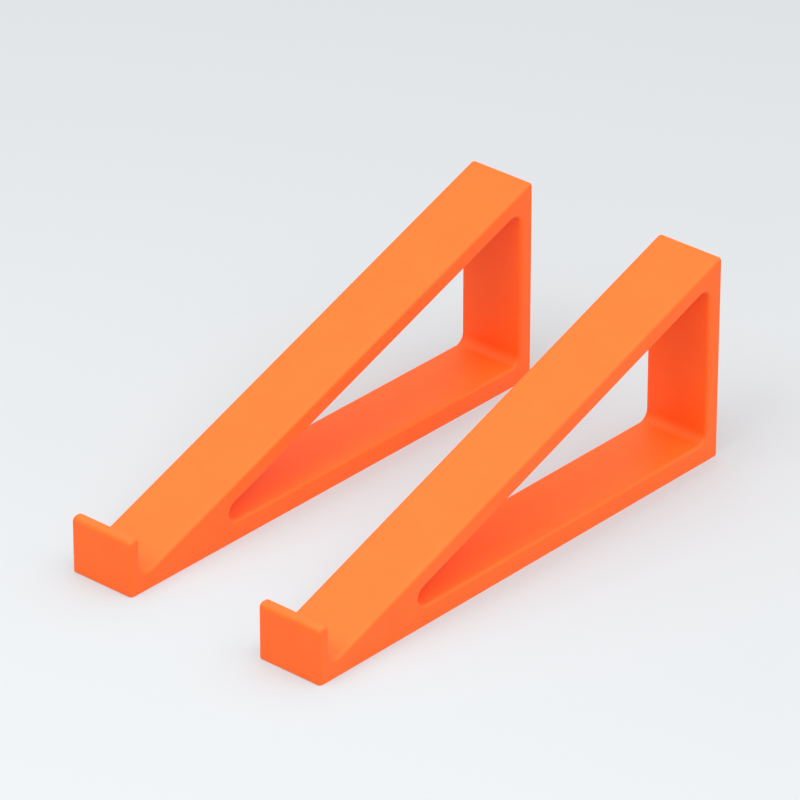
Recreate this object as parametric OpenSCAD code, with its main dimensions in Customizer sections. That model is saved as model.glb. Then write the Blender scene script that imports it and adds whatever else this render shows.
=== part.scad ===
// Pair of loose wedge supports that hold a laptop at a slope on a desk.
// X runs across the laptop, Y from its front edge to its hinge, Z up from the desk.
// The origin is on the desk, in the middle of the pair's footprint.

/* [Support] */
// Width of one support
support_w = 25; // [18:0.5:40]
// Length from the front face to the back face
support_l = 189; // [150:1:240]
// Slope of the ramp that the laptop lies on, in degrees
ramp_angle = 20; // [14:0.5:26]

/* [Lip] */
// Thickness of the front lip
lip_t = 4.3; // [3.7:0.1:6]
// Height of the lip's top above the desk
lip_h = 19.6; // [15:0.1:24]
// Height of the ramp's surface where it meets the lip
toe_h = 4.6; // [3.8:0.1:6]

/* [Walls] */
// Thickness of the bar that lies on the desk
base_t = 6.8; // [5:0.1:9]
// Thickness of the upright at the back
post_t = 6; // [4.5:0.1:9]
// Thickness of the sloping bar
ramp_t = 6.4; // [4.5:0.1:8]

/* [Rounding] */
// Radius along every edge of the two side faces
edge_r = 1.2; // [0.6:0.1:1.3]
// Corner radius at the foot and at the top of the upright
corner_r = 1.5; // [1.4:0.1:3]
// Radius over the front of the lip's top
lip_front_r = 2; // [1.4:0.1:2]
// Radius over the back of the lip's top
lip_back_r = 1.5; // [1.4:0.1:1.6]
// Radius in the crease between lip and ramp
crease_r = 4; // [1.2:0.1:4.5]
// Corner radius of the triangular opening
opening_r = 3.4; // [2:0.1:4]
// How much of the rounding is cut away along the desk, which leaves the foot's edges crisp
foot_trim = 0.9; // [0.3:0.1:1]

/* [Pair] */
// Distance between the two supports, centre to centre
pair_pitch = 78; // [45:1:280]

/* [Hidden] */
$fn = 36;
print_orange = [0.93, 0.36, 0.13];
// Each rounding bites this much deeper than a true tangent, so that faces meet at a clear edge.
bite = 0.004;
// Cutters run this much past one another.
overlap = 0.4;
ramp_rise = tan(ramp_angle);
back_h = toe_h + (support_l - lip_t) * ramp_rise;
// The opening's sloping side lies this far below the ramp, measured upright.
ramp_drop = ramp_t / cos(ramp_angle);
opening_front_y = lip_t + (base_t + ramp_drop - toe_h) / ramp_rise;
opening_back_y = support_l - post_t;
opening_top_z = back_h - ramp_drop - post_t * ramp_rise;

// Side view, as [y, z, radius], anticlockwise. The outline's foot is below the desk, and is trimmed off.
OUTLINE = [
    [0, -foot_trim, corner_r],
    [support_l, -foot_trim, corner_r],
    [support_l, back_h, corner_r],
    [lip_t, toe_h, crease_r],
    [lip_t, lip_h, lip_back_r],
    [0, lip_h, lip_front_r]
];
OPENING = [
    [opening_front_y, base_t, opening_r],
    [opening_back_y, base_t, opening_r],
    [opening_back_y, opening_top_z, opening_r]
];

function unit(v) = v / norm(v);
function flat(p) = [p[0], p[1]];
function turn(a, b) = a[0] * b[1] - a[1] * b[0];
function heading(v) = atan2(v[1], v[0]);
function after(i, loop) = (i + 1) % len(loop);
function before(i, loop) = (i + len(loop) - 1) % len(loop);

// A corner as [point, arc's centre, radius, true if it juts out of the loop, arc's foot on the side
// before, arc's foot on the side after].
function corner(loop, i) =
    let(
        p = flat(loop[i]),
        d = loop[i][2] - bite,
        to_prev = unit(flat(loop[before(i, loop)]) - p),
        to_next = unit(flat(loop[after(i, loop)]) - p),
        half = acos(to_prev * to_next) / 2
    )
    [p, p + unit(to_prev + to_next) * d / sin(half), loop[i][2], turn(to_next, to_prev) > 0,
        p + to_prev * d / tan(half), p + to_next * d / tan(half)];
function corners_of(loop) = [for (i = [0 : len(loop) - 1]) corner(loop, i)];
function beyond(centre, p, d) = p + unit(p - centre) * d;

// The sliver between a sharp corner and its arc: taken off where the corner juts out, added where not.
module corner_waste(c) {
    feet = c[3] ? [c[4], c[5]] : [c[5], c[4]];
    difference() {
        polygon([c[1], beyond(c[1], feet[0], 1), beyond(c[1], c[0], 1), beyond(c[1], feet[1], 1)]);
        translate(c[1]) circle(c[2]);
    }
}

module rounded(corners) {
    difference() {
        union() {
            polygon([for (c = corners) c[0]]);
            for (c = corners)
                if (!c[3]) corner_waste(c);
        }
        for (c = corners)
            if (c[3]) corner_waste(c);
    }
}

// What a round edge takes off, seen end on: x runs into the material from the wall, y out of the side face.
module edge_waste() {
    in = edge_r - 2 * bite;
    difference() {
        polygon([[in, -in], [in, 1], [-1, 1], [-1, -in]]);
        translate([in, -in]) circle(edge_r);
    }
}

// Cutter for one loop's edge of a side face. The material is inside the loop (1) or outside it (-1).
module edge_cutter(corners, inside) {
    for (i = [0 : len(corners) - 1]) {
        c = corners[i];
        n = corners[after(i, corners)];
        way = unit(n[4] - c[5]);
        from = c[5] - way * (c[3] == (inside > 0) ? overlap : 0);
        to = n[4] + way * (n[3] == (inside > 0) ? overlap : 0);
        translate(from)
            rotate([90, 0, heading(way) + 90])
                linear_extrude(norm(to - from))
                    mirror([inside > 0 ? 0 : 1, 0])
                        edge_waste();
        jut = c[3] == (inside > 0);
        spread = jut ? 0 : overlap / c[2] * 180 / PI;
        first = heading((c[3] ? c[4] : c[5]) - c[1]);
        last = heading((c[3] ? c[5] : c[4]) - c[1]);
        translate(c[1])
            rotate([0, 0, first - spread])
                rotate_extrude(angle = (last - first + 360) % 360 + 2 * spread)
                    translate([c[2], 0])
                        mirror([jut ? 1 : 0, 0])
                            edge_waste();
    }
}

module edge_cutters(outer, opening) {
    edge_cutter(outer, 1);
    edge_cutter(opening, -1);
}

// The frame on its side, as drawn in the side view.
module frame() {
    outer = corners_of(OUTLINE);
    opening = corners_of(OPENING);
    difference() {
        linear_extrude(support_w)
            difference() {
                rounded(outer);
                rounded(opening);
            }
        translate([0, 0, support_w]) edge_cutters(outer, opening);
        mirror([0, 0, 1]) edge_cutters(outer, opening);
    }
}

module support() {
    below = foot_trim + 1;
    color(print_orange)
        difference() {
            rotate([90, 0, 90]) frame();
            translate([-1, -1, -below]) cube([support_w + 2, support_l + 2, below]);
        }
}

module left_support() {
    translate([-pair_pitch / 2 - support_w / 2, -support_l / 2, 0]) support();
}

module right_support() {
    translate([pair_pitch / 2 - support_w / 2, -support_l / 2, 0]) support();
}

left_support();
right_support();
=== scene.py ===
import math

import bmesh
import bpy
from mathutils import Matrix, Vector


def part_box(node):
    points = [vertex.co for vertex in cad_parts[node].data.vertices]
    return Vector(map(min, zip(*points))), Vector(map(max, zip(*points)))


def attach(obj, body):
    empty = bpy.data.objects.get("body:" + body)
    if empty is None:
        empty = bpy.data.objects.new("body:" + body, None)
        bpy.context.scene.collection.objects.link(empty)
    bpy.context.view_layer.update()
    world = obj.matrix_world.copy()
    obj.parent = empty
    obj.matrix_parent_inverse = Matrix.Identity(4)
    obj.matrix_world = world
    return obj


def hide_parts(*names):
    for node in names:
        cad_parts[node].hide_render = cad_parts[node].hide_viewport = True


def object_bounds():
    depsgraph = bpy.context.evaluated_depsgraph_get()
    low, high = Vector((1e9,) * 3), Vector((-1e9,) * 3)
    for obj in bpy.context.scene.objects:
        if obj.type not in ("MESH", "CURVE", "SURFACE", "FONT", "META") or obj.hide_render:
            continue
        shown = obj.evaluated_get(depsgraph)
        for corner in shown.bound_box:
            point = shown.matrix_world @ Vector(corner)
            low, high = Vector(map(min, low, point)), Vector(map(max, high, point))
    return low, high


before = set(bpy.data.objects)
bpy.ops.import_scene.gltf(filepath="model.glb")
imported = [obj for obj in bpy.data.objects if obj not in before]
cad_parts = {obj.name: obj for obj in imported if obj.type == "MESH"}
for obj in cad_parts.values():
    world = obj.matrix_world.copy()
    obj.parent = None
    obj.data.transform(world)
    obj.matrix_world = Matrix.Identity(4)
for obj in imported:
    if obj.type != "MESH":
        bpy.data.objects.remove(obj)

CAD_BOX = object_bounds()
MM = 0.001
RIGHT_ANGLE = math.radians(90)

# ---------------------------------------------------------------- one support's sizes, as in the CAD
RAMP_ANGLE = math.radians(20)
LIP_T = 4.3 * MM
LIP_H = 19.6 * MM
TOE_H = 4.6 * MM
BASE_T = 6.8 * MM
POST_T = 6.0 * MM
RAMP_T = 6.4 * MM
EDGE_R = 1.2 * MM
CORNER_R = 1.5 * MM
LIP_FRONT_R = 2.0 * MM
LIP_BACK_R = 1.5 * MM
CREASE_R = 4.0 * MM
OPENING_R = 3.4 * MM
FOOT_TRIM = 0.9 * MM

# ---------------------------------------------------------------- how finely the mesh is divided
ARC_STEP = math.radians(9)
ARC_STEPS_LEAST = 6
EDGE_STEPS = 7
WALL_STEPS = 10

# ---------------------------------------------------------------- camera
CAMERA_AZIMUTH = math.radians(41.469)
CAMERA_ELEVATION = math.radians(28.878)
CAMERA_DISTANCE = 1.936
CAMERA_LENS = 282.18
CAMERA_SENSOR = 36.0
# The middle of the view, from the box's lowest corner, along the view's own right and up.
AIM_RIGHT = 101.1 * MM
AIM_UP = 52.85 * MM

# ---------------------------------------------------------------- floor and light
FLOOR_SIZE = 40.0
FLOOR_GLOW = 0.238
# Each area light: azimuth and elevation in degrees, power in watts.
LIGHTS = {
    "near_left": (-45, 52, 0.75),
    "near_front": (0, 55, 3.0),
    "near_corner": (45, 52, 0.75),
    "near_right": (90, 52, 1.35),
}
LIGHT_DISTANCE = 0.85
LIGHT_SIZE = 0.5
# Each soft patch of the tent overhead: azimuth and elevation in degrees, tightness, strength.
TENT = [
    (0, 90, 4, 1.7),
    (0, 90, 12, 0.3),
    (135, 25, 3, 1.2),
    (-135, 25, 3, 0.85),
    (-45, 25, 3, 0.35),
    (45, 25, 3, 0.9),
]


def direction(azimuth, elevation):
    """Unit vector towards a place at that azimuth (0 is -Y, 90 degrees is +X) and elevation."""
    return Vector((
        math.sin(azimuth) * math.cos(elevation),
        -math.cos(azimuth) * math.cos(elevation),
        math.sin(elevation),
    ))


def place(name, data, location, back):
    """Adds a camera or a light there, looking along -back, with its top upwards."""
    obj = bpy.data.objects.new(name, data)
    obj.location = location
    obj.rotation_euler = back.to_track_quat("Z", "Y").to_euler()
    bpy.context.scene.collection.objects.link(obj)
    return obj


def make_camera():
    back = direction(CAMERA_AZIMUTH, CAMERA_ELEVATION)
    right = Vector((math.cos(CAMERA_AZIMUTH), math.sin(CAMERA_AZIMUTH), 0))
    up = back.cross(right)
    target = CAD_BOX[0] + right * AIM_RIGHT + up * AIM_UP
    data = bpy.data.cameras.new("camera")
    data.sensor_width = CAMERA_SENSOR
    data.lens = CAMERA_LENS
    data.clip_start = 0.05
    data.clip_end = 100
    bpy.context.scene.camera = place("camera", data, target + back * CAMERA_DISTANCE, back)


# ---------------------------------------------------------------- one support's mesh
def corner(points, i):
    """A corner's (arc centre, radius, True if it juts out, angle where the arc starts, angle it turns)."""
    y, z, r = points[i]
    p = Vector((y, z))
    to_prev = (Vector(points[i - 1][:2]) - p).normalized()
    to_next = (Vector(points[(i + 1) % len(points)][:2]) - p).normalized()
    half = to_prev.angle(to_next) / 2
    centre = p + (to_prev + to_next).normalized() * r / math.sin(half)
    reach = r / math.tan(half)
    juts = to_next.x * to_prev.y - to_next.y * to_prev.x > 0
    start = p + to_prev * reach - centre
    end = p + to_next * reach - centre
    first = math.atan2(start.y, start.x)
    last = math.atan2(end.y, end.x)
    turn = (last - first + math.pi) % (2 * math.pi) - math.pi
    return centre, r, juts, first, turn


def loop_points(points, inside):
    """Points round a loop with rounded corners, each with its unit direction out of the material.

    inside is True where the material is inside the loop.
    """
    out = []
    for i in range(len(points)):
        centre, r, juts, first, turn = corner(points, i)
        steps = max(ARC_STEPS_LEAST, round(abs(turn) / ARC_STEP))
        for k in range(steps + 1):
            a = first + turn * k / steps
            ray = Vector((math.cos(a), math.sin(a)))
            out.append((centre + ray * r, ray if juts == inside else -ray))
    return out


def side_view(length):
    """The outline and the opening as (y, z, corner radius), anticlockwise. The foot is trimmed at z = 0."""
    rise = math.tan(RAMP_ANGLE)
    back_h = TOE_H + (length - LIP_T) * rise
    drop = RAMP_T / math.cos(RAMP_ANGLE)
    back = length - POST_T
    outline = [
        (0, -FOOT_TRIM, CORNER_R),
        (length, -FOOT_TRIM, CORNER_R),
        (length, back_h, CORNER_R),
        (LIP_T, TOE_H, CREASE_R),
        (LIP_T, LIP_H, LIP_BACK_R),
        (0, LIP_H, LIP_FRONT_R),
    ]
    opening = [
        (LIP_T + (BASE_T + drop - TOE_H) / rise, BASE_T, OPENING_R),
        (back, BASE_T, OPENING_R),
        (back, back_h - drop - POST_T * rise, OPENING_R),
    ]
    return outline, opening


def cross_profile(width):
    """Across the wall from one side face to the other: (x, how far in from the wall, tilt, side).

    The tilt is 0 on the side face and a right angle on the wall.
    """
    tilts = [RIGHT_ANGLE * k / EDGE_STEPS for k in range(EDGE_STEPS + 1)]
    edge = [(width / 2 - EDGE_R * (1 - math.cos(t)), EDGE_R * (1 - math.sin(t)), t) for t in tilts]
    flat = (width / 2 - EDGE_R) * 2 / WALL_STEPS
    profile = [(x, inset, t, 1) for x, inset, t in edge]
    profile += [(flat * (WALL_STEPS / 2 - k), 0, RIGHT_ANGLE, 1) for k in range(1, WALL_STEPS)]
    profile += [(-x, inset, t, -1) for x, inset, t in reversed(edge)]
    return profile


def add_wall(bm, normals, points, width):
    """One loop's wall with its two rounded edges; gives back the rim on each side face."""
    rings = []
    for x, inset, tilt, side in cross_profile(width):
        ring = []
        for p, out in points:
            q = p - out * inset
            ring.append(bm.verts.new((x, q.x, q.y)))
            normals.append(Vector((math.cos(tilt) * side, *(out * math.sin(tilt)))))
        rings.append(ring)
    for a, b in zip(rings, rings[1:]):
        for i in range(len(a)):
            bm.faces.new((a[i - 1], a[i], b[i], b[i - 1]))
    return rings[0], rings[-1]


def add_side_face(bm, rims):
    edges = [bm.edges.get((rim[i - 1], rim[i])) for rim in rims for i in range(len(rim))]
    bmesh.ops.triangle_fill(bm, use_beauty=True, use_dissolve=False, edges=edges)


def support_mesh(name, low, high):
    width = high.x - low.x
    outline, opening = side_view(high.y - low.y)
    bm = bmesh.new()
    normals = []
    outer_rims = add_wall(bm, normals, loop_points(outline, True), width)
    inner_rims = add_wall(bm, normals, loop_points(opening, False), width)
    for rims in zip(outer_rims, inner_rims):
        add_side_face(bm, rims)
    bmesh.ops.recalc_face_normals(bm, faces=bm.faces)
    for i, v in enumerate(bm.verts):
        if v.co.z <= 0:
            v.co.z = 0
            normals[i] = Vector((0, 0, -1))
    bmesh.ops.translate(bm, vec=((low.x + high.x) / 2, low.y, 0), verts=bm.verts)
    for f in bm.faces:
        f.smooth = True
    mesh = bpy.data.meshes.new(name)
    bm.to_mesh(mesh)
    bm.free()
    mesh.normals_split_custom_set_from_vertices(normals)
    return mesh


# ---------------------------------------------------------------- materials
def node(tree, kind, **inputs):
    """Adds a node and sets its inputs, named with _ for each space."""
    n = tree.nodes.new(kind)
    for key, value in inputs.items():
        n.inputs[key.replace("_", " ")].default_value = value
    return n


def new_material(name):
    material = bpy.data.materials.new(name)
    material.use_nodes = True
    tree = material.node_tree
    return material, tree, tree.nodes["Principled BSDF"], tree.nodes.new("ShaderNodeTexCoord")


def tinted_noise(tree, shader, coords, noise, first, second):
    """Base colour that drifts between two colours with the noise, each given as (position, colour)."""
    tint = tree.nodes.new("ShaderNodeValToRGB")
    for stop, (position, colour) in zip(tint.color_ramp.elements, (first, second)):
        stop.position = position
        stop.color = (*colour, 1)
    tree.links.new(coords.outputs["Object"], noise.inputs["Vector"])
    tree.links.new(noise.outputs["Fac"], tint.inputs["Fac"])
    tree.links.new(tint.outputs["Color"], shader.inputs["Base Color"])


def orange_plastic():
    """Smooth matte plastic: a faintly uneven tint, and a very fine grain in its gloss and its surface."""
    material, tree, shader, coords = new_material("orange_plastic")
    cloud = node(tree, "ShaderNodeTexNoise", Scale=90.0, Detail=3.0, Roughness=0.5)
    tinted_noise(tree, shader, coords, cloud, (0.3, (0.97, 0.122, 0.009)), (0.7, (0.99, 0.130, 0.012)))
    grain = node(tree, "ShaderNodeTexNoise", Scale=1500.0, Detail=2.0, Roughness=0.6)
    gloss = node(tree, "ShaderNodeMapRange", To_Min=0.46, To_Max=0.60)
    bump = node(tree, "ShaderNodeBump", Strength=0.12, Distance=0.03 * MM)
    shader.inputs["Specular IOR Level"].default_value = 0.3
    tree.links.new(coords.outputs["Object"], grain.inputs["Vector"])
    tree.links.new(grain.outputs["Fac"], gloss.inputs["Value"])
    tree.links.new(gloss.outputs["Result"], shader.inputs["Roughness"])
    tree.links.new(grain.outputs["Fac"], bump.inputs["Height"])
    tree.links.new(bump.outputs["Normal"], shader.inputs["Normal"])
    return material


def pale_floor():
    """Pale matte sweep, a little lit from behind, so that its shadows stay light."""
    material, tree, shader, coords = new_material("pale_floor")
    cloud = node(tree, "ShaderNodeTexNoise", Scale=3.0, Detail=2.0, Roughness=0.5)
    tinted_noise(tree, shader, coords, cloud, (0.0, (0.327, 0.339, 0.348)), (1.0, (0.331, 0.343, 0.352)))
    shader.inputs["Roughness"].default_value = 0.9
    shader.inputs["Specular IOR Level"].default_value = 0.2
    shader.inputs["Emission Color"].default_value = (0.94, 0.975, 1.0, 1)
    shader.inputs["Emission Strength"].default_value = FLOOR_GLOW
    return material


# ---------------------------------------------------------------- the pieces and the stage
def make_support(side, plastic):
    cad = side + "_support"
    name = side + "_wedge"
    mesh = support_mesh(name, *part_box(cad))
    mesh.materials.append(plastic)
    piece = bpy.data.objects.new(name, mesh)
    bpy.context.scene.collection.objects.link(piece)
    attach(piece, cad)
    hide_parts(cad)


def make_floor():
    bm = bmesh.new()
    bmesh.ops.create_grid(bm, x_segments=8, y_segments=8, size=FLOOR_SIZE / 2)
    mesh = bpy.data.meshes.new("floor")
    bm.to_mesh(mesh)
    bm.free()
    mesh.materials.append(pale_floor())
    floor = bpy.data.objects.new("floor", mesh)
    bpy.context.scene.collection.objects.link(floor)


def make_light(name, azimuth, elevation, power):
    """A round area light that looks at the middle of the floor."""
    data = bpy.data.lights.new(name, "AREA")
    data.shape = "DISK"
    data.size = LIGHT_SIZE
    data.energy = power
    toward = direction(math.radians(azimuth), math.radians(elevation))
    place(name, data, toward * LIGHT_DISTANCE, toward)


def patch(tree, coords, toward, tightness, strength):
    """The light of one soft patch: strength times the cosine from its middle, to the power tightness."""
    dot = tree.nodes.new("ShaderNodeVectorMath")
    dot.operation = "DOT_PRODUCT"
    dot.inputs[1].default_value = toward
    tree.links.new(coords.outputs["Generated"], dot.inputs[0])
    value = dot.outputs["Value"]
    for operation, number in (("MAXIMUM", 0.0), ("POWER", tightness), ("MULTIPLY", strength)):
        step = tree.nodes.new("ShaderNodeMath")
        step.operation = operation
        step.inputs[1].default_value = number
        tree.links.new(value, step.inputs[0])
        value = step.outputs[0]
    return value


def make_tent():
    """White studio tent: brightest overhead, with softer patches low down on four sides."""
    world = bpy.data.worlds.new("tent")
    world.use_nodes = True
    tree = world.node_tree
    coords = tree.nodes.new("ShaderNodeTexCoord")
    background = tree.nodes["Background"]
    background.inputs["Color"].default_value = (1, 1, 1, 1)
    total = tree.nodes.new("ShaderNodeValue").outputs[0]
    total.default_value = 0
    for azimuth, elevation, tightness, strength in TENT:
        toward = direction(math.radians(azimuth), math.radians(elevation))
        add = tree.nodes.new("ShaderNodeMath")
        tree.links.new(total, add.inputs[0])
        tree.links.new(patch(tree, coords, toward, tightness, strength), add.inputs[1])
        total = add.outputs[0]
    tree.links.new(total, background.inputs["Strength"])
    bpy.context.scene.world = world


make_camera()
plastic = orange_plastic()
for side in ("left", "right"):
    make_support(side, plastic)
make_floor()
make_tent()
for name, (azimuth, elevation, power) in LIGHTS.items():
    make_light(name, azimuth, elevation, power)
bpy.context.scene.view_settings.view_transform = "Standard"
